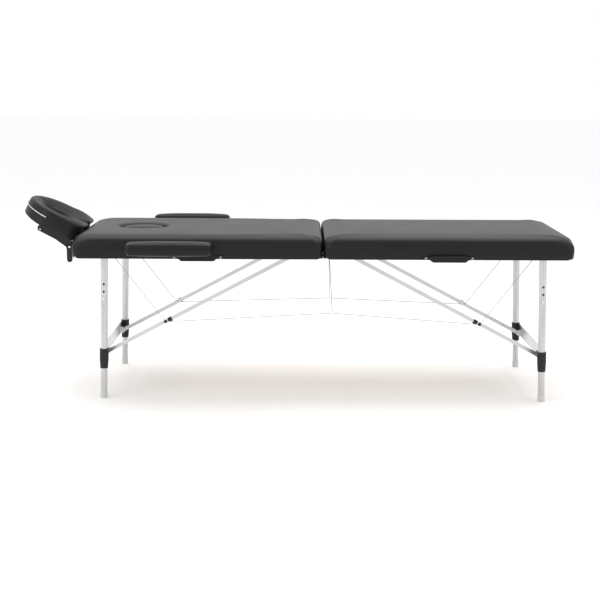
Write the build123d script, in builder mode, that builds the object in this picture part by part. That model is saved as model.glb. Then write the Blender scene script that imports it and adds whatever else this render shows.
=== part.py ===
from build123d import *
import os
from math import cos, hypot, radians, sin

os.makedirs("parts", exist_ok=True)

# Two-section portable massage table on folding aluminium legs.
# X runs from the head end (-X) to the foot end (+X), Y across the table, Z up from the floor.
# The origin is on the floor under the middle of the whole table, face cradle included.
# "end" is -1 for the head half and its legs, and 1 for the foot half and its legs.
# "side" is -1 for the near (-Y) side and 1 for the far side.
HEAD, FOOT = -1, 1
END_NAME = {HEAD: "head", FOOT: "foot"}
SIDE_NAME = {-1: "near", 1: "far"}

# ---- padded halves ----
HINGE_X = 117.5            # X of the centre hinge line
HALF_LENGTH = 930
TABLE_WIDTH = 600
UNDERSIDE = 544            # bottom of the upholstered edge
TOP = 626
CENTRE_GAP = 1             # from the hinge line to the upholstery of each half
CORNER_RADIUS = 26         # upright corners
EDGE_RADIUS = 20           # upper edges of the foam
LEATHER = 1.2
HEM = 4.2                  # upholstery turned in under the rails
HEM_THICKNESS = 1
FRAME_HEIGHT = 36
FRAME_WALL = 3
FLANGE = 10
FLANGE_THICKNESS = 2
DECK_THICKNESS = 5

FRAME_BOTTOM = UNDERSIDE + HEM_THICKNESS
DECK_BOTTOM = FRAME_BOTTOM + FRAME_HEIGHT
DECK_TOP = DECK_BOTTOM + DECK_THICKNESS
PLATE_Z = DECK_BOTTOM - FLANGE_THICKNESS     # underside of plates screwed to the deck
FRAME_SIDE = TABLE_WIDTH / 2 - LEATHER       # outer face of the side rails

# ---- face hole and its plug ----
HOLE_X = 700
HOLE_LENGTH, HOLE_WIDTH = 176, 126
PLUG_GAP = 4.5
PLUG_DROP = 1

# ---- centre hinges ----
HINGE_Z = UNDERSIDE - 0.5
HINGE_Y = 215
HINGE_WIDTH = 70
KNUCKLE_RADIUS = 3.2
PIN_RADIUS = 1.5
LEAF_THICKNESS = 1.5
CABLE_NOTCH = 30           # notch in the centre rails that the slack cables fold through
CABLE_NOTCH_Y = 199

# ---- legs ----
LEG_X = 815.5
PIVOT_Z = 563
LEG_Y = 264                # half the distance between the legs of a pair
STAGGER = 14               # the head pair is shifted to +Y and the foot pair to -Y by this much
SPLAY = 1.785              # degrees
UPPER_RADIUS, UPPER_BORE = 14, 12.8
LOWER_RADIUS, LOWER_BORE = 12.5, 11.1
UPPER_START, UPPER_END = 14, 438
LOWER_START, LOWER_END = 163, 552
FOOT_RADIUS, FOOT_START = 13.2, 538
COLLAR_TOP, COLLAR_TAPER, COLLAR_BOTTOM = 370, 412, 446
COLLAR_RADIUS, COLLAR_TIP_RADIUS = 17, 14.6
HOLE_PITCH = 28.6
BUTTON_L = 178             # distance of the snap button from the leg pivot
BUTTON_RADIUS = 4
AXLE_RADIUS = 4

# ---- cross plate and braces ----
PLATE_TOP, PLATE_BOTTOM = 373, 420
PLATE_HALF = 246           # half its length: it ends just short of the collars
PLATE_BOLT_Y = 236
PLATE_INNER, PLATE_OUTER = -11.5, -14.5
BRACE_WIDTH, BRACE_THICKNESS = 14.5, 6
BRACE_Y = 185              # middle of the lower brace, from the middle of its leg pair
BRACE_GAP = 0.5
BRACE_FOOT_L, BRACE_FOOT_IN = 398.2, 4.5     # lower brace pivot on the leg, along and inboard
BRACE_TOP_X, BRACE_TOP_Z = 72, 562           # upper brace pivot under the deck
PIVOT_RADIUS = 3
PIVOT_CLEARANCE = 0.3

# ---- cables ----
CABLE_RADIUS = 1.5
JOINT_TRIM = 6.8           # from a brace joint's bolt to the end of a cable
EYE_X, EYE_Z = 808, 556
LINK_X = 38                # ring where the near and far link cables are held up
LINK_Z = {-1: 322, 1: 304}
DROP_X, DROP_Z = 27, 571

# ---- carry handles ----
HANDLE_X = 464.5
RIVET_PITCH = 172
RIVET_Z = 551.25
HANDLE_HEIGHT, TAB_HEIGHT = 24, 11.5
HANDLE_THICKNESS = 5
HANDLE_RISE = {HEAD: 0.6, FOOT: 9}

# ---- armrests ----
ARMREST_X = {-1: 566, 1: 541}                # middle of each armrest, from the hinge line
ARMREST_LENGTH = 320
ARMREST_IN, ARMREST_OUT = 303, 376
ARMREST_HEIGHT = 50
ARMREST_ROD_Z = 600
ARMREST_OFFSET = {-1: -12, 1: 12}              # middle of the pad above the rods
ARMREST_ROD_X = 80
ROD_RADIUS = 5

# ---- face cradle ----
POST_Y, POST_Z, POST_RADIUS = 95, 563, 6
POST_X, POST_LENGTH = 893, 166               # middle of the posts, from the hinge line
CRADLE_X = 970             # tilt pivot, from the hinge line
CRADLE_TILT = 26.5
TILT_PLATE_Y = 121.5
CUSHION_LENGTH, CUSHION_WIDTH, CUSHION_THICKNESS = 255, 290, 68.5
CUSHION_START, CUSHION_LIFT = -24, 27
FACE_LENGTH, FACE_WIDTH, FACE_GAP = 128, 120, 46
CUSHION_SHOULDER = 60      # corners of the cushion beside the table


def at(end, x):
    """X of a point that is x from the hinge line, towards that end."""
    return HINGE_X + end * x


def save(piece, label):
    piece.part.label = label
    export_step(piece.part, f"parts/{label}.step")


# ---------------------------------------------------------------- the two padded halves
def half_outline(end, inset):
    """Rounded rectangle of one half, drawn in from the upholstery by inset."""
    length = HALF_LENGTH - CENTRE_GAP - 2 * inset
    with BuildSketch() as outline:
        with Locations((at(end, (HALF_LENGTH + CENTRE_GAP) / 2), 0)):
            RectangleRounded(length, TABLE_WIDTH - 2 * inset, CORNER_RADIUS - inset)
    return outline.sketch


def padded_block(end, inset, bottom, top):
    """The soft-edged outer form of one half, or the form inside its leather."""
    with BuildPart() as block:
        with BuildSketch(Plane.XY.offset(bottom)):
            add(half_outline(end, inset))
        extrude(amount=top - bottom)
        fillet(block.edges().group_by(Axis.Z)[-1], EDGE_RADIUS - inset)
    return block.part


def centre_notches(end, top):
    """Room at the centre joint for the hinge knuckles and the folded cables."""
    reach = 2 * (CENTRE_GAP + LEATHER + FRAME_WALL) + 1
    with BuildPart() as notches:
        for side in (-1, 1):
            with Locations((at(end, 0), side * HINGE_Y, (UNDERSIDE + top) / 2 - 1)):
                Box(reach, HINGE_WIDTH + 3, top - UNDERSIDE + 2)
            with Locations((at(end, 0), side * CABLE_NOTCH_Y, UNDERSIDE + 2)):
                Box(2 * HEM + 12, CABLE_NOTCH, 10)
    return notches.part


def make_cover(end):
    with BuildPart() as cover:
        add(padded_block(end, 0, UNDERSIDE, TOP))
        add(padded_block(end, LEATHER, FRAME_BOTTOM, TOP - LEATHER), mode=Mode.SUBTRACT)
        with BuildSketch(Plane.XY.offset(UNDERSIDE)):
            add(half_outline(end, HEM))
        extrude(amount=2 * HEM_THICKNESS, mode=Mode.SUBTRACT)
        add(centre_notches(end, UNDERSIDE + 5), mode=Mode.SUBTRACT)
        if end == HEAD:
            with BuildSketch(Plane.XY.offset(DECK_BOTTOM)):
                with Locations((at(HEAD, HOLE_X), 0)):
                    Ellipse(HOLE_LENGTH / 2 + LEATHER, HOLE_WIDTH / 2 + LEATHER)
            extrude(amount=TOP - LEATHER / 2 - DECK_BOTTOM)
            with BuildSketch(Plane.XY.offset(DECK_BOTTOM)):
                with Locations((at(HEAD, HOLE_X), 0)):
                    Ellipse(HOLE_LENGTH / 2, HOLE_WIDTH / 2)
            extrude(amount=TOP + 1 - DECK_BOTTOM, mode=Mode.SUBTRACT)
            cut_socket_holes()
    return cover


def cut_socket_holes():
    """Holes for the cradle sockets in the head end and the armrest sockets in the sides."""
    with Locations([(at(HEAD, HALF_LENGTH - 10), y, POST_Z) for y in (-POST_Y, POST_Y)]):
        Cylinder(POST_RADIUS + 3, 60, rotation=(0, 90, 0), mode=Mode.SUBTRACT)
    with Locations(armrest_rod_places(TABLE_WIDTH / 2 - 50)):
        Cylinder(ROD_RADIUS + 2, 110, rotation=(90, 0, 0), mode=Mode.SUBTRACT)


def armrest_rod_places(y, sides=(-1, 1)):
    return [(at(HEAD, ARMREST_X[side]) + step, side * y, ARMREST_ROD_Z)
            for side in sides for step in (-ARMREST_ROD_X, ARMREST_ROD_X)]


def make_foam(end):
    with BuildPart() as foam:
        add(padded_block(end, LEATHER, DECK_TOP, TOP - LEATHER))
        if end == HEAD:
            with BuildSketch(Plane.XY.offset(DECK_TOP)):
                with Locations((at(HEAD, HOLE_X), 0)):
                    Ellipse(HOLE_LENGTH / 2 + LEATHER, HOLE_WIDTH / 2 + LEATHER)
            extrude(amount=TOP - DECK_TOP, mode=Mode.SUBTRACT)
            with Locations(armrest_rod_places(TABLE_WIDTH / 2 - 50)):
                Cylinder(ROD_RADIUS + 2, 110, rotation=(90, 0, 0), mode=Mode.SUBTRACT)
    return foam


def make_deck(end):
    with BuildPart() as deck:
        with BuildSketch(Plane.XY.offset(DECK_BOTTOM)):
            add(half_outline(end, LEATHER))
            if end == HEAD:
                with Locations((at(HEAD, HOLE_X), 0)):
                    Ellipse(HOLE_LENGTH / 2 + LEATHER, HOLE_WIDTH / 2 + LEATHER, mode=Mode.SUBTRACT)
        extrude(amount=DECK_THICKNESS)
    return deck


def make_frame(end):
    """Aluminium angle rails: an upright web with a short flange under the deck."""
    with BuildPart() as frame:
        with BuildSketch(Plane.XY.offset(FRAME_BOTTOM)):
            add(half_outline(end, LEATHER))
            add(half_outline(end, LEATHER + FRAME_WALL), mode=Mode.SUBTRACT)
        extrude(amount=FRAME_HEIGHT)
        with BuildSketch(Plane.XY.offset(DECK_BOTTOM - FLANGE_THICKNESS)):
            add(half_outline(end, LEATHER))
            add(half_outline(end, LEATHER + FLANGE), mode=Mode.SUBTRACT)
        extrude(amount=FLANGE_THICKNESS)
        add(centre_notches(end, UNDERSIDE + 5), mode=Mode.SUBTRACT)
        with Locations([(at(end, LEG_X), leg_y(end, side), PIVOT_Z)
                        for side in (-1, 1) if outer_leg(end, side)]):
            Cylinder(AXLE_RADIUS, 60, rotation=(90, 0, 0), mode=Mode.SUBTRACT)
        if end == HEAD:
            with Locations([(at(HEAD, HALF_LENGTH - 10), y, POST_Z) for y in (-POST_Y, POST_Y)]):
                Cylinder(POST_RADIUS + 3, 60, rotation=(0, 90, 0), mode=Mode.SUBTRACT)
    return frame


def make_plug():
    """Upholstered plug that closes the face hole."""
    with BuildPart() as plug:
        with BuildSketch(Plane.XY.offset(DECK_TOP)):
            with Locations((at(HEAD, HOLE_X), 0)):
                Ellipse(HOLE_LENGTH / 2 - PLUG_GAP, HOLE_WIDTH / 2 - PLUG_GAP)
        extrude(amount=TOP - PLUG_DROP - DECK_TOP)
        fillet(plug.edges().group_by(Axis.Z)[-1], 8)
    return plug


# ---------------------------------------------------------------- centre hinges
def knuckles(end):
    """Y spans of the barrels that belong to one leaf: the leaves take turns along the pin."""
    step = HINGE_WIDTH / 5
    turns = (0, 2, 4) if end == HEAD else (1, 3)
    return [(side * HINGE_Y - HINGE_WIDTH / 2 + (turn + 0.5) * step, step - 0.6)
            for side in (-1, 1) for turn in turns]


def make_leaves(end):
    """Cranked leaves behind the centre rail, with tabs that reach under it to the barrels."""
    leaf_x = CENTRE_GAP + LEATHER + FRAME_WALL + LEAF_THICKNESS / 2
    tab_z = HINGE_Z + KNUCKLE_RADIUS - LEAF_THICKNESS / 2
    reach = leaf_x + LEAF_THICKNESS / 2
    with BuildPart() as leaves:
        for side in (-1, 1):
            with Locations((at(end, leaf_x), side * HINGE_Y, (tab_z + DECK_BOTTOM - 6) / 2)):
                Box(LEAF_THICKNESS, HINGE_WIDTH, DECK_BOTTOM - 6 - tab_z + LEAF_THICKNESS)
        for y, width in knuckles(end):
            with Locations((at(end, reach / 2), y, tab_z)):
                Box(reach, width, LEAF_THICKNESS)
            with Locations((HINGE_X, y, HINGE_Z)):
                Cylinder(KNUCKLE_RADIUS, width, rotation=(90, 0, 0))
        for y, width in knuckles(end):
            with Locations((HINGE_X, y, HINGE_Z)):
                Cylinder(PIN_RADIUS + 0.2 * (end == FOOT), width + 1, rotation=(90, 0, 0), mode=Mode.SUBTRACT)
        if end == HEAD:
            with Locations([(HINGE_X, side * HINGE_Y, HINGE_Z) for side in (-1, 1)]):
                Cylinder(PIN_RADIUS, HINGE_WIDTH, rotation=(90, 0, 0))
    return leaves


# ---------------------------------------------------------------- legs
def pair_y(end):
    return -end * STAGGER


def leg_y(end, side):
    return pair_y(end) + side * LEG_Y


def outer_leg(end, side):
    """True for the two legs that stand right beside their side rail."""
    return abs(leg_y(end, side)) > LEG_Y


def leg_plane(end, y):
    """Local frame at a leg pivot: Z down the leg, X inboard, and Y is end times the table's Y."""
    lean = radians(SPLAY)
    return Plane(origin=(at(end, LEG_X), y, PIVOT_Z), x_dir=(-end * cos(lean), 0, -sin(lean)),
                 z_dir=(end * sin(lean), 0, -cos(lean)))


def make_leg_mounts(end):
    """Pressed brackets under the deck: leg axles, upper brace pivots and cable eyes."""
    with BuildPart() as mounts:
        for side in (-1, 1):
            middle = leg_y(end, side)
            leg_bracket(end, side, middle)
            brace_bracket(end, side)
            eye_y = cable_y(end, side)
            with Locations((at(end, EYE_X), eye_y, (EYE_Z + 4 + DECK_BOTTOM) / 2)):
                Cylinder(1.8, DECK_BOTTOM - EYE_Z - 4)
            with Locations((at(end, EYE_X), eye_y, EYE_Z)):
                Cylinder(5, 3, rotation=(90, 0, 0))
                Cylinder(2.2, 4, rotation=(90, 0, 0), mode=Mode.SUBTRACT)
        if end == FOOT:
            with Locations((at(FOOT, DROP_X), 0, (DROP_Z + DECK_BOTTOM) / 2)):
                Cylinder(4, DECK_BOTTOM - DROP_Z)
    return mounts


def leg_bracket(end, side, middle):
    """U bracket astride the leg top. Beside a rail the rail itself is the outer cheek."""
    cheek = 2.5
    inner = middle - side * (UPPER_RADIUS + 1 + cheek / 2)
    outer = middle + side * (UPPER_RADIUS + 1 + cheek / 2)
    height = PLATE_Z - PIVOT_Z + 11
    base_end = side * (FRAME_SIDE - FLANGE) if outer_leg(end, side) else outer + side * cheek / 2
    base_start = inner - side * cheek / 2
    with Locations((at(end, LEG_X), (base_start + base_end) / 2, DECK_BOTTOM - FLANGE_THICKNESS / 2)):
        Box(32, abs(base_end - base_start), FLANGE_THICKNESS)
    cheeks = [inner] if outer_leg(end, side) else [inner, outer]
    with Locations([(at(end, LEG_X), y, PLATE_Z - height / 2) for y in cheeks]):
        Box(24, cheek, height)
    axle_end = side * FRAME_SIDE if outer_leg(end, side) else outer + side * cheek / 2
    with Locations((at(end, LEG_X), (base_start + axle_end) / 2, PIVOT_Z)):
        Cylinder(AXLE_RADIUS, abs(axle_end - base_start), rotation=(90, 0, 0))


def brace_bracket(end, side):
    """Single-cheek bracket for the upper brace, on the outer side of the bar."""
    bar_outer = BRACE_Y + 1.5 * BRACE_THICKNESS + BRACE_GAP
    middle = pair_y(end)
    x = at(end, BRACE_TOP_X)
    with Locations((x, middle + side * (bar_outer + 9), DECK_BOTTOM - FLANGE_THICKNESS / 2)):
        Box(34, 17, FLANGE_THICKNESS)
    with Locations((x, middle + side * (bar_outer + 2), (PLATE_Z + BRACE_TOP_Z - 9) / 2)):
        Box(22, 3, PLATE_Z - BRACE_TOP_Z + 9)
    pin_start = bar_outer - BRACE_THICKNESS
    with Locations((x, middle + side * (pin_start + bar_outer + 3.5) / 2, BRACE_TOP_Z)):
        Cylinder(PIVOT_RADIUS, bar_outer + 3.5 - pin_start, rotation=(90, 0, 0))


def make_upper_legs(end):
    """Outer leg tubes with their row of seven height holes."""
    with BuildPart() as legs:
        for side in (-1, 1):
            facing = end * side
            with BuildPart(leg_plane(end, leg_y(end, side)), mode=Mode.PRIVATE) as leg:
                with BuildSketch(leg_plane(end, leg_y(end, side)).offset(UPPER_START)):
                    Circle(UPPER_RADIUS)
                    Circle(UPPER_BORE, mode=Mode.SUBTRACT)
                extrude(amount=UPPER_END - UPPER_START)
                with Locations([(0, facing * UPPER_RADIUS, BUTTON_L + step * HOLE_PITCH)
                                for step in range(-2, 5)]):
                    Cylinder(BUTTON_RADIUS + PIVOT_CLEARANCE, UPPER_RADIUS, rotation=(90, 0, 0),
                             mode=Mode.SUBTRACT)
            add(leg.part)
    return legs


def make_leg_mouldings(end):
    """Nylon head in the top of each tube, and the black collar where the tubes meet."""
    with BuildPart() as mouldings:
        for side in (-1, 1):
            place = leg_plane(end, leg_y(end, side))
            with BuildPart(place, mode=Mode.PRIVATE) as head:
                Cylinder(13.5, 26, rotation=(90, 0, 0))
                with BuildSketch(place):
                    Circle(UPPER_BORE)
                extrude(amount=42)
                Cylinder(AXLE_RADIUS + PIVOT_CLEARANCE, 40, rotation=(90, 0, 0), mode=Mode.SUBTRACT)
            add(head.part)
            add(collar(place, -end * side))
    return mouldings


def collar(place, inward):
    """Tapered collar round the joint of the two tubes, with a lug for the cross plate."""
    lug_reach = LEG_Y - PLATE_BOLT_Y + 8
    with BuildPart(place, mode=Mode.PRIVATE) as ring:
        with BuildSketch(place.offset(COLLAR_TOP)):
            Circle(COLLAR_RADIUS)
        extrude(amount=COLLAR_TAPER - COLLAR_TOP)
        with Locations((PLATE_INNER + 3, inward * lug_reach / 2, (PLATE_TOP + PLATE_BOTTOM) / 2)):
            Box(6, lug_reach, PLATE_BOTTOM - PLATE_TOP - 8)
        with BuildSketch(place.offset(COLLAR_TAPER)):
            Circle(COLLAR_RADIUS)
        with BuildSketch(place.offset(COLLAR_BOTTOM)):
            Circle(COLLAR_TIP_RADIUS)
        loft()
        with BuildSketch(place.offset(COLLAR_TOP - 1)):
            Circle(UPPER_RADIUS)
        extrude(amount=UPPER_END - COLLAR_TOP + 1, mode=Mode.SUBTRACT)
        with BuildSketch(place.offset(UPPER_END - 1)):
            Circle(LOWER_RADIUS + PIVOT_CLEARANCE)
        extrude(amount=COLLAR_BOTTOM - UPPER_END + 2, mode=Mode.SUBTRACT)
    return ring.part


def make_lower_leg(end, side):
    place = leg_plane(end, leg_y(end, side))
    with BuildPart(place) as leg:
        with BuildSketch(place.offset(LOWER_START)):
            Circle(LOWER_RADIUS)
            Circle(LOWER_BORE, mode=Mode.SUBTRACT)
        extrude(amount=LOWER_END - LOWER_START)
        with Locations((0, end * side * LOWER_RADIUS, BUTTON_L)):
            Cylinder(BUTTON_RADIUS + PIVOT_CLEARANCE, LOWER_RADIUS, rotation=(90, 0, 0), mode=Mode.SUBTRACT)
    return leg


def make_foot(end, side):
    """Rubber cap on the lower tube, cut level with the floor."""
    place = leg_plane(end, leg_y(end, side))
    with BuildPart(place) as foot:
        with BuildSketch(place.offset(FOOT_START)):
            Circle(FOOT_RADIUS)
        extrude(amount=PIVOT_Z - FOOT_START + 10)
        with BuildSketch(place.offset(FOOT_START)):
            Circle(LOWER_RADIUS)
        extrude(amount=LOWER_END - FOOT_START, mode=Mode.SUBTRACT)
        split(bisect_by=Plane.XY, keep=Keep.TOP)
    return foot


def make_button(end, side):
    """Sprung snap button: a domed stud on a washer inside the lower tube."""
    place = leg_plane(end, leg_y(end, side))
    facing = end * side
    with BuildPart(place) as button:
        with Locations((0, facing * 12.1, BUTTON_L)):
            Cylinder(BUTTON_RADIUS, 5.4, rotation=(90, 0, 0))
        fillet(button.edges().filter_by(GeomType.CIRCLE).group_by(Axis.Y)[-1 if side > 0 else 0], 1.2)
        with Locations((0, facing * 9, BUTTON_L)):
            Cylinder(BUTTON_RADIUS + 1, 1.4, rotation=(90, 0, 0))
    return button


# ---------------------------------------------------------------- cross plate and braces
def make_cross_plate(end):
    """Ribbed aluminium plate between the two collars, bolted to their lugs."""
    place = leg_plane(end, pair_y(end))
    length = 2 * PLATE_HALF
    height = PLATE_BOTTOM - PLATE_TOP
    middle = (PLATE_TOP + PLATE_BOTTOM) / 2
    with BuildPart(place) as plate:
        with Locations(((PLATE_INNER + PLATE_OUTER) / 2, 0, middle)):
            Box(PLATE_INNER - PLATE_OUTER, length, height)
        with Locations([(PLATE_OUTER, 0, middle + step * height / 6) for step in (-2, -1, 0, 1, 2)]):
            Box(1.6, length, height / 16, mode=Mode.SUBTRACT)
        with Locations([(PLATE_INNER, side * PLATE_BOLT_Y, middle) for side in (-1, 1)]):
            Cylinder(3, 12, rotation=(0, 90, 0), mode=Mode.SUBTRACT)
    return plate


def make_brace_feet(end):
    """Steel brackets on the inboard face of the plate for the lower braces, and the plate bolts."""
    place = leg_plane(end, pair_y(end))
    ear = BRACE_Y - BRACE_THICKNESS / 2 - BRACE_GAP
    middle = (PLATE_TOP + PLATE_BOTTOM) / 2
    with BuildPart(place) as feet:
        for side in (-1, 1):
            with Locations((PLATE_INNER + 1.25, side * (ear - 11), BRACE_FOOT_L)):
                Box(2.5, 22, 26)
            with Locations(((PLATE_INNER + BRACE_FOOT_IN) / 2, side * (ear - 1.75), BRACE_FOOT_L)):
                Box(BRACE_FOOT_IN - PLATE_INNER, 3.5, 26)
            with Locations((BRACE_FOOT_IN, side * (ear - 1.75), BRACE_FOOT_L)):
                Cylinder(9, 3.5, rotation=(90, 0, 0))
            pin_end = BRACE_Y + BRACE_THICKNESS / 2 + 0.2
            with Locations((BRACE_FOOT_IN, side * (ear - 5 + pin_end) / 2, BRACE_FOOT_L)):
                Cylinder(PIVOT_RADIUS, pin_end - ear + 5, rotation=(90, 0, 0))
            with Locations(((PLATE_INNER + PLATE_OUTER) / 2, side * PLATE_BOLT_Y, middle)):
                Cylinder(3, PLATE_INNER - PLATE_OUTER, rotation=(0, 90, 0))
            with Locations((PLATE_OUTER - 1, side * PLATE_BOLT_Y, middle)):
                Cylinder(5.5, 2, rotation=(0, 90, 0))
    return feet


def leg_point(end, along, inboard):
    """X and Z of a point in a leg's own frame."""
    lean = radians(SPLAY)
    x = LEG_X + along * sin(lean) - inboard * cos(lean)
    return at(end, x), PIVOT_Z - along * cos(lean) - inboard * sin(lean)


def brace_joint(end):
    """Middle pivot of a brace: on the line of the open brace, and flat when folded."""
    foot_x, foot_z = leg_point(end, BRACE_FOOT_L, BRACE_FOOT_IN)
    top_x, top_z = at(end, BRACE_TOP_X), BRACE_TOP_Z
    whole = hypot(top_x - foot_x, top_z - foot_z)
    folded = LEG_X - BRACE_FOOT_L - BRACE_TOP_X
    lower = (whole - folded) / 2
    share = lower / whole
    return foot_x + share * (top_x - foot_x), foot_z + share * (top_z - foot_z)


def bar_plane(start, y):
    """Plane of a brace bar, with its X along the open brace towards the hinge."""
    (x, z), (end_x, end_z) = start
    return Plane(origin=(x, y, z), x_dir=(end_x - x, 0, end_z - z), z_dir=(0, 1, 0))


def make_bars(end, start, finish, offset, hole_at):
    """A pair of flat bars with round ends, bored where they turn on a pivot."""
    length = hypot(finish[0] - start[0], finish[1] - start[1])
    with BuildPart() as bars:
        for side in (-1, 1):
            y = pair_y(end) + side * offset
            with BuildSketch(bar_plane((start, finish), y)):
                with Locations((length / 2, 0)):
                    SlotCenterToCenter(length, BRACE_WIDTH)
                with Locations((hole_at * length, 0)):
                    Circle(PIVOT_RADIUS + PIVOT_CLEARANCE, mode=Mode.SUBTRACT)
            extrude(amount=BRACE_THICKNESS / 2, both=True)
    return bars


def make_brace_joints(end):
    """Shouldered bolt at the middle pivot, and the black clip that keeps the brace open."""
    outer = BRACE_Y + 1.5 * BRACE_THICKNESS + BRACE_GAP
    joint = brace_joint(end)
    top = (at(end, BRACE_TOP_X), BRACE_TOP_Z)
    with BuildPart() as joints:
        for side in (-1, 1):
            with Locations((joint[0], pair_y(end) + side * (outer + 1.5), joint[1])):
                Cylinder(6, 3, rotation=(90, 0, 0))
            with Locations((joint[0], pair_y(end) + side * (outer + 4.5), joint[1])):
                Cylinder(2.5, 3, rotation=(90, 0, 0))
            face = pair_y(end) + side * (outer + 0.75)
            edge = pair_y(end) + side * (outer - 2)
            with BuildSketch(bar_plane((joint, top), face)):
                with Locations((19, 0)):
                    Rectangle(16, BRACE_WIDTH + 3)
            extrude(amount=0.75, both=True)
            with BuildSketch(bar_plane((joint, top), edge)):
                with Locations([(19, step * (BRACE_WIDTH + 1.5) / 2) for step in (-1, 1)]):
                    Rectangle(16, 1.5)
            extrude(amount=2, both=True)
    return joints


# ---------------------------------------------------------------- cables
def cable_y(end, side):
    return pair_y(end) + side * (BRACE_Y + 1.5 * BRACE_THICKNESS + BRACE_GAP + 4.5)


def cable_run(start, finish, trim_start, trim_finish):
    """Straight tight cable, drawn back from its two fixings by the trims."""
    reach = Vector(*finish) - Vector(*start)
    along = reach.normalized()
    with BuildSketch(Plane(origin=Vector(*start) + along * trim_start, z_dir=along)) as section:
        Circle(CABLE_RADIUS)
    extrude(section.sketch, amount=reach.length - trim_start - trim_finish)


def cable_points(end, side):
    joint = brace_joint(end)
    return (joint[0], cable_y(end, side), joint[1]), (at(end, EYE_X), cable_y(end, side), EYE_Z)


def ring_point(side):
    """Ring in the middle of a link cable, in line between its two ends."""
    head, foot = cable_points(HEAD, side)[0], cable_points(FOOT, side)[0]
    share = (at(FOOT, LINK_X) - head[0]) / (foot[0] - head[0])
    return at(FOOT, LINK_X), head[1] + share * (foot[1] - head[1]), LINK_Z[side]


def make_diagonal_cables(end):
    with BuildPart() as cables:
        for side in (-1, 1):
            joint, eye = cable_points(end, side)
            cable_run(joint, eye, JOINT_TRIM, 5.5)
    return cables


def make_link_cables(end):
    with BuildPart() as cables:
        for side in (-1, 1):
            cable_run(cable_points(end, side)[0], ring_point(side), JOINT_TRIM, 3.4)
            if end == FOOT:
                cable_run(ring_point(side), (at(FOOT, DROP_X), 0, DROP_Z), 3.4, 6)
                with Locations(ring_point(side)):
                    Cylinder(3, 4, rotation=(90, 0, 0))
    return cables


# ---------------------------------------------------------------- carry handles
def handle_face():
    return -TABLE_WIDTH / 2


def make_handle(end):
    """Stitched strap handle: narrow tabs under the rivets and a wide middle that stands off."""
    middle = at(end, HANDLE_X)
    reach = RIVET_PITCH / 2 + 9
    face = handle_face() - 1 - HANDLE_THICKNESS / 2
    rise = HANDLE_RISE[end]
    with BuildPart() as handle:
        with BuildSketch(Plane.XY.offset(RIVET_Z - HANDLE_HEIGHT)):
            with BuildLine():
                FilletPolyline((middle - reach, face), (middle - reach + 16, face),
                               (middle - reach + 28, face - rise), (middle + reach - 28, face - rise),
                               (middle + reach - 16, face), (middle + reach, face), radius=6)
            trace(line_width=HANDLE_THICKNESS)
        extrude(amount=2 * HANDLE_HEIGHT)
        with BuildSketch(Plane.XZ.offset(-face - 40)):
            half, tab = HANDLE_HEIGHT / 2, TAB_HEIGHT / 2
            low = RIVET_Z - tab - 8.5
            with BuildLine():
                Polyline((middle - reach, RIVET_Z - tab), (middle - reach, RIVET_Z + tab),
                         (middle - reach + 28, RIVET_Z + tab), (middle - reach + 42, low + 2 * half),
                         (middle + reach - 42, low + 2 * half), (middle + reach - 28, RIVET_Z + tab),
                         (middle + reach, RIVET_Z + tab), (middle + reach, RIVET_Z - tab),
                         (middle + reach - 28, RIVET_Z - tab), (middle + reach - 42, low),
                         (middle - reach + 42, low), (middle - reach + 28, RIVET_Z - tab), close=True)
            make_face()
        extrude(amount=80, mode=Mode.INTERSECT)
        with Locations([(middle + step * RIVET_PITCH / 2, face, RIVET_Z) for step in (-1, 1)]):
            Cylinder(2.5, 20, rotation=(90, 0, 0), mode=Mode.SUBTRACT)
    return handle


def make_handle_rivets(end):
    with BuildPart() as rivets:
        for step in (-1, 1):
            x = at(end, HANDLE_X) + step * RIVET_PITCH / 2
            with Locations((x, handle_face() - 3.5, RIVET_Z)):
                Cylinder(2.5, 7, rotation=(90, 0, 0))
            with Locations((x, handle_face() - 7, RIVET_Z)):
                Cylinder(4.5, 2, rotation=(90, 0, 0))
            with Locations((x, handle_face() - 0.5, RIVET_Z)):
                Cylinder(4.5, 1, rotation=(90, 0, 0))
    return rivets


# ---------------------------------------------------------------- sockets and armrests
def make_sockets():
    """Plastic tubes that take the cradle posts and the armrest rods."""
    flange = 2.5
    with BuildPart() as sockets:
        for y in (-POST_Y, POST_Y):
            with Locations((at(HEAD, HALF_LENGTH - 62), y, POST_Z)):
                Cylinder(POST_RADIUS + 3, 124, rotation=(0, 90, 0))
            with Locations((at(HEAD, HALF_LENGTH + flange / 2), y, POST_Z)):
                Cylinder(POST_RADIUS + 8, flange, rotation=(0, 90, 0))
            with Locations((at(HEAD, HALF_LENGTH - 62), y, (POST_Z + DECK_BOTTOM) / 2)):
                Box(40, 2 * POST_RADIUS, DECK_BOTTOM - POST_Z)
        with Locations([(at(HEAD, HALF_LENGTH - 55), y, POST_Z) for y in (-POST_Y, POST_Y)]):
            Cylinder(POST_RADIUS + PIVOT_CLEARANCE, 140, rotation=(0, 90, 0), mode=Mode.SUBTRACT)
        with Locations(armrest_rod_places(TABLE_WIDTH / 2 - 50)):
            Cylinder(ROD_RADIUS + 2, 100, rotation=(90, 0, 0))
        with Locations(armrest_rod_places(TABLE_WIDTH / 2 + 0.75)):
            Cylinder(ROD_RADIUS + 6, 1.5, rotation=(90, 0, 0))
        with Locations(armrest_rod_places(TABLE_WIDTH / 2 - 49)):
            Cylinder(ROD_RADIUS + PIVOT_CLEARANCE, 110, rotation=(90, 0, 0), mode=Mode.SUBTRACT)
    return sockets


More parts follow.
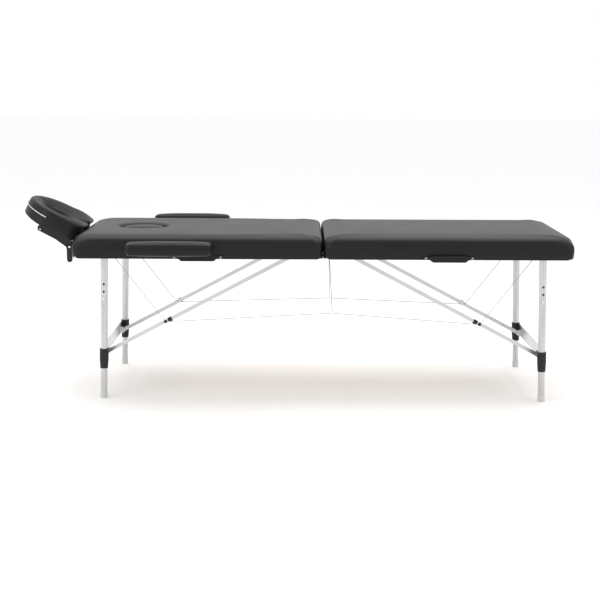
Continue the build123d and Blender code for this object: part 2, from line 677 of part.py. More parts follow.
def make_armrest_frame(side):
    """Board inside the pad with two steel rods that slide into the table."""
    y = side * (ARMREST_IN + ARMREST_OUT) / 2
    with BuildPart() as frame:
        with Locations((at(HEAD, ARMREST_X[side]), y, ARMREST_ROD_Z)):
            Box(ARMREST_LENGTH - 30, ARMREST_OUT - ARMREST_IN - 20, 12)
        with Locations(armrest_rod_places(265, (side,))):
            Cylinder(ROD_RADIUS, 110, rotation=(90, 0, 0))
    return frame


def make_armrest_pad(side):
    y = side * (ARMREST_IN + ARMREST_OUT) / 2
    with BuildPart() as pad:
        with Locations((at(HEAD, ARMREST_X[side]), y, ARMREST_ROD_Z + ARMREST_OFFSET[side])):
            Box(ARMREST_LENGTH, ARMREST_OUT - ARMREST_IN, ARMREST_HEIGHT)
        fillet(pad.edges().filter_by(Axis.Z), 18)
        fillet(pad.edges().group_by(Axis.Z)[-1] + pad.edges().group_by(Axis.Z)[0], 12)
        with Locations((at(HEAD, ARMREST_X[side]), y, ARMREST_ROD_Z)):
            Box(ARMREST_LENGTH - 30, ARMREST_OUT - ARMREST_IN - 20, 12, mode=Mode.SUBTRACT)
        with Locations(armrest_rod_places(265, (side,))):
            Cylinder(ROD_RADIUS, 110, rotation=(90, 0, 0), mode=Mode.SUBTRACT)
    return pad


# ---------------------------------------------------------------- face cradle
def cradle_plane(lift=0):
    """Frame of the tilted cradle at its pivot: X towards the far end of the cushion, Z up."""
    tilt = radians(CRADLE_TILT)
    return Plane(origin=(at(HEAD, CRADLE_X), 0, POST_Z), x_dir=(-cos(tilt), 0, sin(tilt)),
                 z_dir=(sin(tilt), 0, cos(tilt))).offset(lift)


def make_cradle_posts():
    with BuildPart() as posts:
        with Locations([(at(HEAD, POST_X), y, POST_Z) for y in (-POST_Y, POST_Y)]):
            Cylinder(POST_RADIUS, POST_LENGTH, rotation=(0, 90, 0))
    return posts


def make_yoke():
    """Black crossbar on the posts that carries the tilt pivot."""
    with BuildPart() as yoke:
        with Locations((at(HEAD, CRADLE_X), 0, POST_Z)):
            Box(18, 236, 18)
        fillet(yoke.edges().filter_by(Axis.Y), 4)
        with Locations([(at(HEAD, POST_X), y, POST_Z) for y in (-POST_Y, POST_Y)]):
            Cylinder(POST_RADIUS, POST_LENGTH, rotation=(0, 90, 0), mode=Mode.SUBTRACT)
        with Locations((at(HEAD, CRADLE_X), 0, POST_Z)):
            Cylinder(4, 300, rotation=(90, 0, 0), mode=Mode.SUBTRACT)
    return yoke


def make_pivot_rod():
    """Clamp rod through the yoke, with a nut on the far side and a cross pin in the lever."""
    with BuildPart() as rod:
        for y in (-118.5, 118.5):
            with Locations((at(HEAD, CRADLE_X), y * 1.063, POST_Z)):
                Cylinder(4, 17, rotation=(90, 0, 0))
        with Locations((at(HEAD, CRADLE_X), -132, POST_Z)):
            Cylinder(2, 18, rotation=(0, 90, 0))
        with Locations((at(HEAD, CRADLE_X), 128, POST_Z)):
            Cylinder(8, 6, rotation=(90, 0, 0))
    return rod


def make_tilt_plates():
    """Side plates that turn on the pivot rod and carry the cushion board."""
    with BuildPart() as plates:
        for side in (-1, 1):
            plane = Plane(origin=(at(HEAD, CRADLE_X), side * TILT_PLATE_Y, POST_Z),
                          x_dir=cradle_plane().x_dir, z_dir=(0, side, 0))
            up = -1 if plane.y_dir.dot(cradle_plane().z_dir) < 0 else 1
            with BuildSketch(plane):
                Circle(11)
                with BuildLine():
                    Polyline((-9, up * 4), (-6, up * 24), (139, up * 24), (143, up * 16),
                             (137, up * 3), (60, up * 1), (6, up * -9), close=True)
                make_face()
                Circle(4.3, mode=Mode.SUBTRACT)
                with Locations((130, up * 9)):
                    Circle(3, mode=Mode.SUBTRACT)
            extrude(amount=2, both=True)
    return plates


def horseshoe(inset):
    """Outline of the face cushion: a ring, round at its far end and open towards the table."""
    middle = CUSHION_START + CUSHION_LENGTH / 2
    square_end = middle + 40
    with BuildSketch(Plane.XY) as outline:
        with Locations(((CUSHION_START + inset + square_end) / 2, 0)):
            RectangleRounded(square_end - CUSHION_START - inset, CUSHION_WIDTH - 2 * inset,
                             CUSHION_SHOULDER - inset)
        with Locations((middle, 0)):
            Ellipse(CUSHION_LENGTH / 2 - inset, CUSHION_WIDTH / 2 - inset)
            Ellipse(FACE_LENGTH / 2 + inset, FACE_WIDTH / 2 + inset, mode=Mode.SUBTRACT)
        with Locations((CUSHION_START, 0)):
            Rectangle(CUSHION_LENGTH, FACE_GAP + 2 * inset, mode=Mode.SUBTRACT)
        with Locations((middle, 0)):
            Rectangle(FACE_LENGTH, FACE_GAP + 2 * inset, mode=Mode.SUBTRACT)
    return outline.sketch


def make_cushion():
    with BuildPart() as cushion:
        with BuildSketch(cradle_plane(CUSHION_LIFT)):
            add(horseshoe(0))
        extrude(amount=CUSHION_THICKNESS)
        top = cushion.faces().sort_by(Axis((0, 0, 0), cradle_plane().z_dir))[-1]
        fillet(top.edges(), 14)
        with Locations((at(HEAD, HALF_LENGTH - 57), 0, TOP - 46)):
            Box(120, TABLE_WIDTH, 100, mode=Mode.SUBTRACT)
    return cushion


def make_cradle_board():
    """Plywood ring under the cushion, stiffened by a bar between the side plates."""
    with BuildPart() as board:
        with BuildSketch(cradle_plane(CUSHION_LIFT - 3)):
            add(horseshoe(14))
        extrude(amount=3)
        with Locations((at(HEAD, HALF_LENGTH - 57), 0, TOP - 46)):
            Box(120, TABLE_WIDTH, 100, mode=Mode.SUBTRACT)
    return board


def make_cam_lever():
    """Cam lever that hangs from the end of the clamp rod and flips out to free the cradle."""
    middle = at(HEAD, CRADLE_X)
    with BuildPart() as lever:
        with Locations((middle, -132, POST_Z)):
            Cylinder(6, 22, rotation=(0, 90, 0))
        with BuildSketch(Plane.XZ.offset(127)):
            with Locations((middle, POST_Z - 31)):
                SlotOverall(56, 20, rotation=90)
            with Locations((middle, POST_Z - 8)):
                Rectangle(20, 10)
        extrude(amount=9)
        with Locations((middle, -132, POST_Z)):
            Box(9, 14, 14, mode=Mode.SUBTRACT)
            Cylinder(2.2, 30, rotation=(0, 90, 0), mode=Mode.SUBTRACT)
    return lever


# ---------------------------------------------------------------- write every piece
for end in (HEAD, FOOT):
    name = END_NAME[end]
    save(make_cover(end), f"{name}_cover")
    save(make_foam(end), f"{name}_foam")
    save(make_deck(end), f"{name}_deck")
    save(make_frame(end), f"{name}_frame")
    save(make_leaves(end), f"{name}_hinge_leaves")
    save(make_leg_mounts(end), f"{name}_leg_mounts")
    save(make_upper_legs(end), f"{name}_upper_legs")
    save(make_leg_mouldings(end), f"{name}_leg_mouldings")
    save(make_cross_plate(end), f"{name}_cross_plate")
    save(make_brace_feet(end), f"{name}_brace_feet")
    foot_pivot = leg_point(end, BRACE_FOOT_L, BRACE_FOOT_IN)
    top_pivot = (at(end, BRACE_TOP_X), BRACE_TOP_Z)
    upper_offset = BRACE_Y + BRACE_THICKNESS + BRACE_GAP
    save(make_bars(end, foot_pivot, brace_joint(end), BRACE_Y, 0), f"{name}_lower_braces")
    save(make_bars(end, brace_joint(end), top_pivot, upper_offset, 1), f"{name}_upper_braces")
    save(make_brace_joints(end), f"{name}_brace_joints")
    save(make_diagonal_cables(end), f"{name}_diagonal_cables")
    save(make_link_cables(end), f"{name}_link_cables")
    save(make_handle(end), f"{name}_handle")
    save(make_handle_rivets(end), f"{name}_handle_rivets")
    for side in (-1, 1):
        place = f"{name}_{SIDE_NAME[side]}"
        save(make_lower_leg(end, side), f"{place}_lower_leg")
        save(make_foot(end, side), f"{place}_foot")
        save(make_button(end, side), f"{place}_button")

for side in (-1, 1):
    save(make_armrest_frame(side), f"{SIDE_NAME[side]}_armrest_frame")
    save(make_armrest_pad(side), f"{SIDE_NAME[side]}_armrest_pad")

save(make_plug(), "face_plug")
save(make_sockets(), "sockets")
save(make_cradle_posts(), "cradle_posts")
save(make_yoke(), "cradle_yoke")
save(make_pivot_rod(), "cradle_clamp_rod")
save(make_tilt_plates(), "cradle_side_plates")
save(make_cradle_board(), "cradle_board")
save(make_cushion(), "face_cushion")
save(make_cam_lever(), "cam_lever")
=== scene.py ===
from math import cos, hypot, pi, radians, sin

import bmesh
import bpy
from mathutils import Matrix, Vector


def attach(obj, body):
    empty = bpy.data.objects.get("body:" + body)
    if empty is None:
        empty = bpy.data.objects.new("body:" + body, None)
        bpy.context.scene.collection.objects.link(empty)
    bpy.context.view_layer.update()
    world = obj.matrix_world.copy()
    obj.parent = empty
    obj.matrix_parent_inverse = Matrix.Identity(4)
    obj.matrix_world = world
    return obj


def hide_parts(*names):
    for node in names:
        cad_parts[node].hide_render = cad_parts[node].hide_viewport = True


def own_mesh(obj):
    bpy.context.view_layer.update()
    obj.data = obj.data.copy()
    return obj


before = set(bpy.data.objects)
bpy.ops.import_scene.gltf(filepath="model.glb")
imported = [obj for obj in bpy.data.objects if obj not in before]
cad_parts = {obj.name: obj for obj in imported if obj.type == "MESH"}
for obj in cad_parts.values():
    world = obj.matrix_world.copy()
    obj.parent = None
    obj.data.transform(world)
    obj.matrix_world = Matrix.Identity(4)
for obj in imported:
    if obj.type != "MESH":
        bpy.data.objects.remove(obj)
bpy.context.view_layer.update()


# ---- view, light and floor ----
# The table stands on a plain white floor in a white studio, under one large overhead
# softbox and two weaker ones at the sides. The camera looks along +Y from standing height.
LENS = 68.14
CAMERA_PLACE = (0.0325, -4.443, 1.202)
CAMERA_DOWN = 0.1930
CAMERA_ROLL = 0.0043
SENSOR_WIDTH = 36
FLOOR_SIZE = 60

scene = bpy.context.scene
scene.view_settings.view_transform = "Standard"
camera = bpy.data.objects.new("camera", bpy.data.cameras.new("camera"))
camera.data.lens = LENS
camera.data.sensor_width = SENSOR_WIDTH
camera.matrix_world = (Matrix.Translation(CAMERA_PLACE)
                       @ Matrix.Rotation(pi / 2 - CAMERA_DOWN, 4, "X")
                       @ Matrix.Rotation(CAMERA_ROLL, 4, "Z"))
scene.collection.objects.link(camera)
scene.camera = camera

world = bpy.data.worlds.new("studio")
scene.world = world
world.use_nodes = True
world.node_tree.nodes["Background"].inputs["Color"].default_value = (1, 1, 1, 1)
world.node_tree.nodes["Background"].inputs["Strength"].default_value = 1.0


def softbox(name, place, target, size, watts):
    light = bpy.data.lights.new(name, "AREA")
    light.shape = "RECTANGLE"
    light.size, light.size_y = size
    light.energy = watts
    holder = bpy.data.objects.new(name, light)
    aim = (Vector(target) - Vector(place)).to_track_quat("-Z", "Y").to_matrix().to_4x4()
    holder.matrix_world = Matrix.Translation(place) @ aim
    scene.collection.objects.link(holder)


softbox("overhead_softbox", (0.0, 0.6, 3.2), (0, 0, 0.5), (4.5, 2.2), 60)
softbox("left_softbox", (-3.2, -2.4, 1.9), (0, 0, 0.6), (1.6, 1.6), 26)
softbox("right_softbox", (3.4, -2.2, 1.6), (0, 0, 0.5), (1.2, 1.2), 12)


def shape_object(name, mesh_builder):
    """A new object at the origin from a bmesh, which is used up."""
    mesh = bpy.data.meshes.new(name)
    mesh_builder.to_mesh(mesh)
    mesh_builder.free()
    made = bpy.data.objects.new(name, mesh)
    scene.collection.objects.link(made)
    return made


class Field:
    """A shader socket that takes part in arithmetic."""

    def __init__(self, finish, socket):
        self.finish, self.socket = finish, socket

    def calc(self, operation, a, b):
        return self.finish.node("ShaderNodeMath", {"operation": operation}, {0: a, 1: b})

    def __add__(self, other): return self.calc("ADD", self, other)
    def __radd__(self, other): return self.calc("ADD", other, self)
    def __rmul__(self, other): return self.calc("MULTIPLY", other, self)


class Finish:
    """One procedural material. Keyword values go straight to the shader's own sockets."""

    def __init__(self, name, **sockets):
        self.material = bpy.data.materials.new(name)
        self.material.use_nodes = True
        self.tree = self.material.node_tree
        self.shader = self.tree.nodes["Principled BSDF"]
        for key, value in sockets.items():
            self.drive(key.replace("_", " ").title().replace("Ior", "IOR"), value)

    def node(self, kind, settings, inputs, output=0):
        made = self.tree.nodes.new(kind)
        for key, value in settings.items():
            if key == "stops":
                self.set_stops(made.color_ramp, value)
            else:
                setattr(made, key, value)
        for key, value in inputs.items():
            self.plug_in(made.inputs[key], value)
        return Field(self, made.outputs[output])

    def set_stops(self, ramp, stops):
        while len(ramp.elements) < len(stops):
            ramp.elements.new(0.5)
        for element, (place, shade) in zip(ramp.elements, stops):
            element.position = place
            element.color = (*shade, 1) if isinstance(shade, tuple) else (shade, shade, shade, 1)

    def plug_in(self, socket, value):
        if isinstance(value, Field):
            self.tree.links.new(value.socket, socket)
        elif socket.type == "RGBA" and len(value) == 3:
            socket.default_value = (*value, 1)
        else:
            socket.default_value = value

    def drive(self, name, value):
        self.plug_in(self.shader.inputs[name], value)

    def place(self, scale=(1, 1, 1)):
        spot = self.node("ShaderNodeTexCoord", {}, {}, "Object")
        return self.node("ShaderNodeMapping", {}, {"Vector": spot, "Scale": scale})

    def noise(self, scale, detail=3, rough=0.5, stretch=(1, 1, 1)):
        settings = {"Vector": self.place(stretch), "Scale": scale, "Detail": detail, "Roughness": rough}
        return self.node("ShaderNodeTexNoise", {}, settings, "Fac")

    def cells(self, scale):
        return self.node("ShaderNodeTexVoronoi", {}, {"Vector": self.place(), "Scale": scale}, "Distance")

    def blend(self, amount, low, high):
        return self.node("ShaderNodeMix", {"data_type": "RGBA"}, {0: amount, 6: low, 7: high}, 2)

    def ramp(self, amount, stops):
        return self.node("ShaderNodeValToRGB", {"stops": stops}, {"Fac": amount}, "Color")

    def relief(self, height, distance, strength):
        settings = {"Height": height, "Distance": distance, "Strength": strength}
        self.drive("Normal", self.node("ShaderNodeBump", {}, settings, "Normal"))


floor_finish = Finish("white_floor", roughness=0.9)
floor_finish.drive("Base Color",
                   floor_finish.blend(floor_finish.noise(1.5), (0.97, 0.97, 0.97), (0.98, 0.98, 0.98)))
floor_mesh = bmesh.new()
bmesh.ops.create_grid(floor_mesh, x_segments=1, y_segments=1, size=FLOOR_SIZE / 2)
floor = shape_object("floor", floor_mesh)
floor.data.materials.append(floor_finish.material)


# ---- rails, hinges and decks ----
# Each half is a frame of aluminium angle with a plywood deck screwed on it. Pressed
# zinc-plated hinges join the two frames at the middle, and brackets hold the legs.
HEAD, FOOT = -1, 1
HALF_NAME = {HEAD: "head", FOOT: "foot"}


def paint(finish, *nodes):
    """Gives carried-over CAD nodes their finish."""
    for node in nodes:
        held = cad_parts[node]
        if not held.material_slots:
            held.data.materials.append(finish.material)
        for slot in held.material_slots:
            slot.material = finish.material


aluminium = Finish("satin_aluminium", metallic=1.0, specular_ior_level=0.5)
drawn = aluminium.noise(260, 2, 0.6, (1, 1, 0.02))
handled = aluminium.noise(9, 3, 0.5)
aluminium.drive("Base Color", aluminium.blend(handled, (0.50, 0.51, 0.515), (0.62, 0.63, 0.635)))
aluminium.drive("Roughness", 0.24 + 0.10 * drawn + 0.08 * handled)
aluminium.relief(drawn, 0.00006, 0.5)

zinc = Finish("zinc_plated_steel", metallic=1.0)
spangle = zinc.cells(140)
zinc.drive("Base Color", zinc.blend(spangle, (0.50, 0.51, 0.53), (0.68, 0.68, 0.67)))
zinc.drive("Roughness", 0.30 + 0.14 * zinc.noise(60))
zinc.relief(zinc.noise(500, 2), 0.00004, 0.4)

plywood = Finish("sealed_plywood", coat_weight=0.15, coat_roughness=0.35)
rings = plywood.noise(34, 4, 0.6, (0.12, 1, 1))
fibre = plywood.noise(420, 2, 0.6, (0.03, 1, 1))
plywood.drive("Base Color", plywood.ramp(0.72 * rings + 0.28 * fibre,
                                         [(0.30, (0.24, 0.15, 0.075)), (0.50, (0.42, 0.28, 0.15)),
                                          (0.70, (0.52, 0.37, 0.21))]))
plywood.drive("Roughness", 0.46 + 0.18 * fibre)
plywood.relief(fibre, 0.00012, 0.5)

for half in HALF_NAME.values():
    paint(aluminium, f"{half}_frame", f"{half}_cross_plate")
    paint(plywood, f"{half}_deck")
    paint(zinc, f"{half}_hinge_leaves", f"{half}_leg_mounts", f"{half}_brace_feet")


# ---- upholstered halves ----
# Dense foam on each deck under one tight skin of black embossed leatherette, folded
# round the corners and stapled under the rails. The head half has the oval face hole.
HINGE_X = 0.1175
UNDERSIDE, TOP = 0.544, 0.626
DECK_BOTTOM = 0.581
HALF_LENGTH, TABLE_WIDTH, CENTRE_GAP = 0.930, 0.600, 0.001
CORNER_RADIUS, EDGE_RADIUS = 0.026, 0.019
TRIM_ROOM, SWELL_ROOM = 0.010, 0.0022
FACE_HOLE_X, FACE_HOLE_RADII, FACE_HOLE_ROOM = 0.700, (0.088, 0.063), 0.0012
LEATHER, HEM, HEM_RISE = 0.0011, 0.0042, 0.0002
HALF_VOXEL, FOAM_PRESSURE, FOAM_STEPS = 0.0088, 4.0, 20
JOINT_STRIP, JOINT_SWELL = 0.012, 0.0004
HOLE_REACH, HOLE_SWELL = 1.12, 0.0008
TOP_BAND, TOP_SWELL, SIDE_SWELL = 0.012, 0.0030, 0.0018
STAPLED_UP_TO = DECK_BOTTOM + 0.009
PULL_IN = 0.0008
CROWN, CROWN_RUN, CROWN_FROM, CROWN_BLEND = 0.0045, 0.075, 0.60, 0.02
SIDE_BULGE, BULGE_Z, BULGE_REACH, BULGE_DEPTH = 0.0028, 0.582, 0.034, 0.02
JOINT_RUN = 0.05
CORNER_SWEEP, CORNER_DROOP, JOINT_SWEEP = 0.075, 0.003, 0.045
DROOP_START = 0.15
SWEEP_FROM, SWEEP_BLEND, SWEEP_POWER = 0.588, 0.034, 5
TUCK_DEPTH, TUCK_TURN, TUCK_HALF_WIDTH = 0.0011, 0.42, 0.16
TUCK_TOP, TUCK_FADE, TUCK_START = 0.612, 0.03, 0.015

leather = Finish("black_leatherette", specular_ior_level=0.22)
pebbles = leather.cells(620)
creases = leather.noise(1300, 2, 0.5)
tone = leather.noise(7, 4, 0.55)
drape = leather.noise(16, 2, 0.4, (0.7, 1, 1))
leather.drive("Base Color", leather.blend(tone, (0.0045, 0.0045, 0.0050), (0.0095, 0.0095, 0.0102)))
leather.drive("Roughness", 0.33 + 0.08 * tone + 0.05 * pebbles)
leather.relief(0.75 * pebbles + 0.25 * creases + 2.0 * drape, 0.00030, 0.45)


def at(end, x):
    """X of a point that is x from the centre hinge, towards that end."""
    return HINGE_X + end * x


def finish_piece(piece, finish, body):
    """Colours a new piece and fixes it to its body."""
    piece.data.materials.clear()
    piece.data.materials.append(finish.material)
    for face in piece.data.polygons:
        face.use_smooth = True
    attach(piece, body)


def block(centre, size, upright, level, both=False):
    """A box with rounded upright corners and a rounded top, or a rounded top and bottom."""
    shape = bmesh.new()
    bmesh.ops.create_cube(shape, size=1, matrix=Matrix.Translation(centre) @ Matrix.Diagonal((*size, 1)))
    standing = [e for e in shape.edges if abs(e.verts[0].co.z - e.verts[1].co.z) > size[2] / 2]
    bmesh.ops.bevel(shape, geom=standing, offset=upright, segments=8, profile=0.5,
                    affect="EDGES", material=-1)
    rims = [e for e in shape.edges if abs(e.verts[0].co.z - e.verts[1].co.z) < 1e-6
            and (both or e.verts[0].co.z > centre[2])]
    bmesh.ops.bevel(shape, geom=rims, offset=level, segments=7, profile=0.5,
                    affect="EDGES", material=-1)
    return shape


def only_mesh(piece, name):
    """Applies every modifier of a piece and returns it as a plain object."""
    depsgraph = bpy.context.evaluated_depsgraph_get()
    mesh = bpy.data.meshes.new_from_object(piece.evaluated_get(depsgraph))
    bpy.data.objects.remove(piece)
    made = bpy.data.objects.new(name, mesh)
    scene.collection.objects.link(made)
    return made


def carve(piece, cutter):
    """Cuts a cutter out of a piece."""
    cut = piece.modifiers.new("cut", "BOOLEAN")
    cut.object, cut.solver = cutter, "EXACT"
    made = only_mesh(piece, piece.name)
    bpy.data.objects.remove(cutter)
    return made


def rounded(piece, name):
    """Subdivides a piece once, for a smooth outline."""
    smooth = piece.modifiers.new("smooth", "SUBSURF")
    smooth.levels = smooth.render_levels = 1
    return only_mesh(piece, name)


def stuff(piece, voxel, cap, held=None):
    """Swells a closed shape as foam under a tight skin does, no point further than its cap."""
    remesh = piece.modifiers.new("skin", "REMESH")
    remesh.mode, remesh.voxel_size = "VOXEL", voxel
    piece = only_mesh(piece, piece.name)
    rest = [v.co.copy() for v in piece.data.vertices]
    outward = [v.normal.copy() for v in piece.data.vertices]
    if held:
        group = piece.vertex_groups.new(name="held")
        group.add([i for i, co in enumerate(rest) if held(co)], 1.0, "REPLACE")
    cloth = piece.modifiers.new("cloth", "CLOTH")
    cloth.settings.quality = 4
    cloth.settings.use_pressure = True
    cloth.settings.uniform_pressure_force = FOAM_PRESSURE
    cloth.settings.effector_weights.gravity = 0
    if held:
        cloth.settings.vertex_group_mass = "held"
    for step in range(1, FOAM_STEPS + 1):
        scene.frame_set(step)
    piece = only_mesh(piece, piece.name)
    scene.frame_set(1)
    for vertex, start, normal in zip(piece.data.vertices, rest, outward):
        move = vertex.co - start
        limit = cap(start) if callable(cap) else cap
        if move.dot(normal) < 0:
            limit = min(limit, PULL_IN)
        if move.length > limit:
            vertex.co = start + move * (limit / move.length)
    shape = bmesh.new()
    shape.from_mesh(piece.data)
    bmesh.ops.smooth_vert(shape, verts=shape.verts, factor=0.5, use_axis_x=True, use_axis_y=True,
                          use_axis_z=True)
    bmesh.ops.recalc_face_normals(shape, faces=shape.faces)
    name = piece.name
    bpy.data.objects.remove(piece)
    return shape, name


def ease(value):
    """A smooth step from 0 to 1."""
    value = max(0.0, min(1.0, value))
    return value * value * (3 - 2 * value)


def sweep(over_x, over_y):
    """Share of the way from a square corner to a rounder one that a point keeps."""
    square = (over_x ** SWEEP_POWER + over_y ** SWEEP_POWER) ** (1 / SWEEP_POWER)
    return square / hypot(over_x, over_y)


def pillow(vertex, end):
    """Crowns the top, bulges the sides over the rails and rounds the four corners."""
    co = vertex.co
    from_end = HALF_LENGTH - end * (co.x - HINGE_X)
    from_side = TABLE_WIDTH / 2 - abs(co.y)
    from_hinge = end * (co.x - HINGE_X)
    off_hinge = ease(from_hinge / JOINT_RUN)
    inward = min(ease(from_end / CROWN_RUN), ease(from_side / CROWN_RUN), off_hinge)
    raised = ease((co.z - CROWN_FROM) / CROWN_BLEND)
    bulge = SIDE_BULGE * max(0.0, 1 - ((co.z - BULGE_Z) / BULGE_REACH) ** 2)
    lift = ease((co.z - SWEEP_FROM) / SWEEP_BLEND)
    side = 1 if co.y > 0 else -1
    if from_side < BULGE_DEPTH:
        co.y += bulge * side * off_hinge
    if from_end < BULGE_DEPTH:
        co.x += bulge * end
    over_x, over_y = max(0.0, CORNER_SWEEP - from_end), max(0.0, CORNER_SWEEP - from_side)
    if over_x > 0 and over_y > 0:
        moved = (1 - sweep(over_x, over_y)) * lift
        co.x -= end * over_x * moved
        co.y -= side * over_y * moved
    near_x, near_y = max(0.0, JOINT_SWEEP - from_hinge), max(0.0, JOINT_SWEEP - from_side)
    if near_x > 0 and near_y > 0:
        moved = (1 - sweep(near_x, near_y)) * lift
        co.x += end * near_x * moved
        co.y -= side * near_y * moved
        co.z -= raised * CORNER_DROOP * min(1.0, 3 * min(near_x, near_y) / JOINT_SWEEP)
    droop = CORNER_DROOP * ease(hypot(over_x, over_y) / CORNER_SWEEP - DROOP_START)
    droop *= min(1.0, 2 * min(over_x, over_y) / CORNER_SWEEP)
    co.z += raised * (CROWN * inward - droop)


def corner_folds(co, end):
    """Depth of the small tucks where the leatherette is gathered round an outer corner."""
    side = 1 if co.y > 0 else -1
    corner = Vector((at(end, HALF_LENGTH - CORNER_RADIUS), (TABLE_WIDTH / 2 - CORNER_RADIUS) * side, 0))
    out = Vector((co.x - corner.x, co.y - corner.y, 0))
    if out.x * end <= 0 or out.y * co.y <= 0 or out.length < TUCK_START:
        return Vector((0, 0, 0))
    turn = out.to_2d().angle_signed(Vector((end, side)))
    fade = max(0.0, min(1.0, (TUCK_TOP - co.z) / TUCK_FADE))
    depth = sum(max(0.0, 1 - ((turn - tuck) / TUCK_HALF_WIDTH) ** 2)
                for tuck in (-TUCK_TURN, 0.0, TUCK_TURN))
    return -out.normalized() * TUCK_DEPTH * depth * fade


def face_hole_distance(co):
    """1 at the edge of the face hole, less inside it."""
    return hypot((co.x - at(HEAD, FACE_HOLE_X)) / FACE_HOLE_RADII[0], co.y / FACE_HOLE_RADII[1])


def swell_cap(co, end):
    """How far the skin of a half may swell: least at the centre joint and the face hole."""
    if end * (co.x - HINGE_X) < JOINT_STRIP:
        return JOINT_SWELL
    if end == HEAD and face_hole_distance(co) < HOLE_REACH:
        return HOLE_SWELL
    return TOP_SWELL if co.z > TOP - TOP_BAND else SIDE_SWELL


for end in (HEAD, FOOT):
    half = HALF_NAME[end]
    length = HALF_LENGTH - CENTRE_GAP
    middle = at(end, CENTRE_GAP + length / 2)
    size = (length, TABLE_WIDTH, TOP - UNDERSIDE + TRIM_ROOM - SWELL_ROOM)
    shape = block((middle, 0, UNDERSIDE - TRIM_ROOM + size[2] / 2), size, CORNER_RADIUS, EDGE_RADIUS)
    padding = shape_object(f"{half}_upholstery", shape)
    if end == HEAD:
        drum = bmesh.new()
        bmesh.ops.create_cone(drum, cap_ends=True, segments=96, radius1=1, radius2=1, depth=1)
        radii = [radius + FACE_HOLE_ROOM for radius in FACE_HOLE_RADII]
        bmesh.ops.transform(drum, verts=drum.verts,
                            matrix=Matrix.Translation((at(HEAD, FACE_HOLE_X), 0, 0.6))
                            @ Matrix.Diagonal((*radii, 0.4, 1)))
        padding = carve(padding, shape_object("face_hole_cutter", drum))

    shape, name = stuff(padding, HALF_VOXEL, lambda co, end=end: swell_cap(co, end),
                        held=lambda co: co.z < STAPLED_UP_TO)
    for vertex in shape.verts:
        pillow(vertex, end)
        vertex.co += corner_folds(vertex.co, end)
    bmesh.ops.bisect_plane(shape, geom=shape.verts[:] + shape.edges[:] + shape.faces[:], dist=1e-6,
                           plane_co=(0, 0, UNDERSIDE), plane_no=(0, 0, -1), clear_outer=True)
    if end == HEAD:
        wall = [f for f in shape.faces if face_hole_distance(f.calc_center_median()) < 1.2]
        ring = list({v for f in wall for v in f.verts}) + list({e for f in wall for e in f.edges}) + wall
        bmesh.ops.bisect_plane(shape, geom=ring, dist=1e-6, plane_co=(0, 0, DECK_BOTTOM),
                               plane_no=(0, 0, -1), clear_outer=True)
    rim = [e for e in shape.edges if e.is_boundary and abs(e.verts[0].co.z - UNDERSIDE) < 1e-4]
    turned = bmesh.ops.extrude_edge_only(shape, edges=rim)["geom"]
    for vertex in [v for v in turned if isinstance(v, bmesh.types.BMVert)]:
        vertex.co.x = middle + (vertex.co.x - middle) * (1 - 2 * HEM / length)
        vertex.co.y *= 1 - 2 * HEM / TABLE_WIDTH
        vertex.co.z += HEM_RISE
    bmesh.ops.recalc_face_normals(shape, faces=shape.faces)
    upholstery = shape_object(name, shape)
    smooth = upholstery.modifiers.new("smooth", "SUBSURF")
    smooth.levels = smooth.render_levels = 1
    skin = upholstery.modifiers.new("skin", "SOLIDIFY")
    skin.thickness, skin.offset = LEATHER, -1
    upholstery = only_mesh(upholstery, f"{half}_upholstery")
    finish_piece(upholstery, leather, f"{half}_half")
    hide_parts(f"{half}_cover", f"{half}_foam")


# ---- face-hole plug ----
# A padded oval stopper in the same leatherette on its own small board. It drops into
# the face hole and lies almost flush, with a narrow dark gap round it.
PLUG_SHRINK_X, PLUG_SHRINK_Y = 0.955, 0.91
PLUG_RISE, PLUG_RISE_FROM, PLUG_BOARD_TOP = 0.0024, 0.61, 0.592
PLUG_VOXEL, PLUG_SWELL = 0.004, 0.0035

shape = bmesh.new()
shape.from_mesh(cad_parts["face_plug"].data)
bmesh.ops.remove_doubles(shape, verts=shape.verts, dist=1e-5)
for vertex in shape.verts:
    vertex.co.x = at(HEAD, FACE_HOLE_X) + (vertex.co.x - at(HEAD, FACE_HOLE_X)) * PLUG_SHRINK_X
    vertex.co.y *= PLUG_SHRINK_Y
    vertex.co.z += PLUG_RISE * (vertex.co.z > PLUG_RISE_FROM)
shape, name = stuff(shape_object("face_plug_pad", shape), PLUG_VOXEL, PLUG_SWELL,
                    held=lambda co: co.z < PLUG_BOARD_TOP)
plug = rounded(shape_object(name, shape), "face_plug_pad")
finish_piece(plug, leather, "face_plug")
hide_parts("face_plug")


# ---- side armrests ----
# Two slim padded boards in leatherette. Each slides into the side of the head half on
# two steel rods, and plastic sockets in the rail take the rods.
SIDE_NAME = {-1: "near", 1: "far"}
ARMREST_X, ARMREST_LENGTH = {-1: 0.566, 1: 0.541}, 0.320
ARMREST_IN, ARMREST_OUT = 0.303, 0.376
ARMREST_MIDDLE = {-1: 0.588, 1: 0.612}
ARMREST_HEIGHT = 0.050
ARMREST_CORNER, ARMREST_EDGE = 0.020, 0.014
ARMREST_SLOPE = 0.003
ARMREST_VOXEL, ARMREST_SWELL = 0.005, 0.0045

